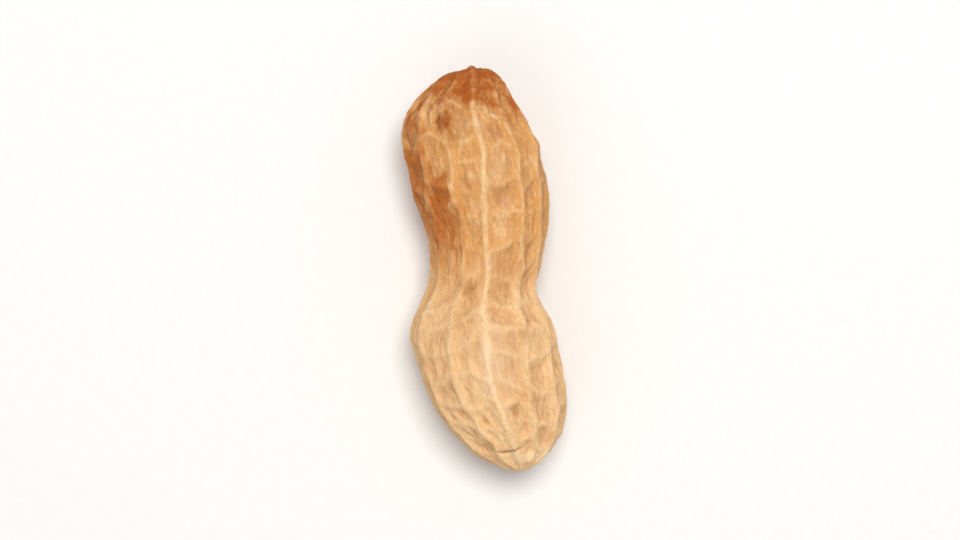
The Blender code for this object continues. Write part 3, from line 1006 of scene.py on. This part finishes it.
table = {
    "width": 1.2,  # metres
    "drop": 0.02,
    "colour": (0.86, 0.86, 0.85),
    "fleckShade": 0.985,
    "fleckScale": 900.0,
    "fleckDetail": 3.0,
    "fleckRange": (0.3, 0.7),
    "roughness": 0.9,
}


def makeTable():
    half = table["width"] / 2
    mesh = bpy.data.meshes.new("table")
    low = -table["drop"] * mm
    corners = [(-half, -half, low), (half, -half, low), (half, half, low), (-half, half, low)]
    mesh.from_pydata(corners, [], [(0, 1, 2, 3)])
    material = bpy.data.materials.new("paleCard")
    bench = NodeBench(material)
    place = bench.add("ShaderNodeTexCoord").outputs["Object"]
    fleck = bench.noise(place, scale=table["fleckScale"], detail=table["fleckDetail"])
    shaded = tuple(table["fleckShade"] * part for part in table["colour"])
    colour = bench.tint(bench.spread(fleck, *table["fleckRange"]), table["colour"], shaded)
    shader = bench.add("ShaderNodeBsdfPrincipled")
    bench.feed(shader.inputs["Base Color"], colour)
    shader.inputs["Roughness"].default_value = table["roughness"]
    bench.feed(bench.add("ShaderNodeOutputMaterial").inputs["Surface"], shader.outputs["BSDF"])
    mesh.materials.append(material)
    top = bpy.data.objects.new("table", mesh)
    bpy.context.scene.collection.objects.link(top)
    print("table: made")


# Seen from straight above with the stem end at the top, turned a little
view = {
    "turn": 6.8,
    "lens": 120.0,
    "sensorWidth": 36.0,
    "distance": 0.325,  # metres
    "nearest": 0.01,  # metres
    "aim": (0.0, 0.0, 6.5),
}


def placeCamera():
    turn = math.radians(view["turn"])
    right = Vector((math.sin(turn), math.cos(turn), 0))
    up = Vector((-math.cos(turn), math.sin(turn), 0))
    back = right.cross(up)
    data = bpy.data.cameras.new("camera")
    data.lens = view["lens"]
    data.sensor_width = view["sensorWidth"]
    data.clip_start = view["nearest"]
    camera = bpy.data.objects.new("camera", data)
    camera.matrix_world = Matrix.Translation(Vector(view["aim"]) * mm + back * view["distance"]) @ (
        Matrix((right, up, back)).transposed().to_4x4()
    )
    bpy.context.scene.collection.objects.link(camera)
    bpy.context.scene.camera = camera
    print("camera: placed")


# Soft boxes: where each stands, how wide it is, how bright, and its colour. Metres and watts.
lamps = {
    "keyBox": {"at": (-0.13, 0.065, 0.57), "size": 0.26, "power": 2.58, "colour": (1.0, 0.985, 0.96)},
    "fillBox": {"at": (0.28, -0.24, 0.48), "size": 0.45, "power": 0.42, "colour": (0.97, 0.985, 1.0)},
    "sky": {"colour": (1.0, 1.0, 1.0), "strength": 0.40},
}


def lightStudio():
    for name in ("keyBox", "fillBox"):
        lamp = lamps[name]
        data = bpy.data.lights.new(name, "AREA")
        data.shape = "DISK"
        data.size = lamp["size"]
        data.energy = lamp["power"]
        data.color = lamp["colour"]
        box = bpy.data.objects.new(name, data)
        box.location = lamp["at"]
        box.rotation_euler = (-Vector(lamp["at"])).to_track_quat("-Z", "Y").to_euler()
        bpy.context.scene.collection.objects.link(box)
    world = bpy.data.worlds.new("softRoom")
    world.use_nodes = True
    background = world.node_tree.nodes["Background"]
    background.inputs["Color"].default_value = (*lamps["sky"]["colour"], 1.0)
    background.inputs["Strength"].default_value = lamps["sky"]["strength"]
    bpy.context.scene.world = world
    bpy.context.scene.view_settings.view_transform = "Standard"
    print("lights: placed")


makeShell()
makeTable()
placeCamera()
lightStudio()
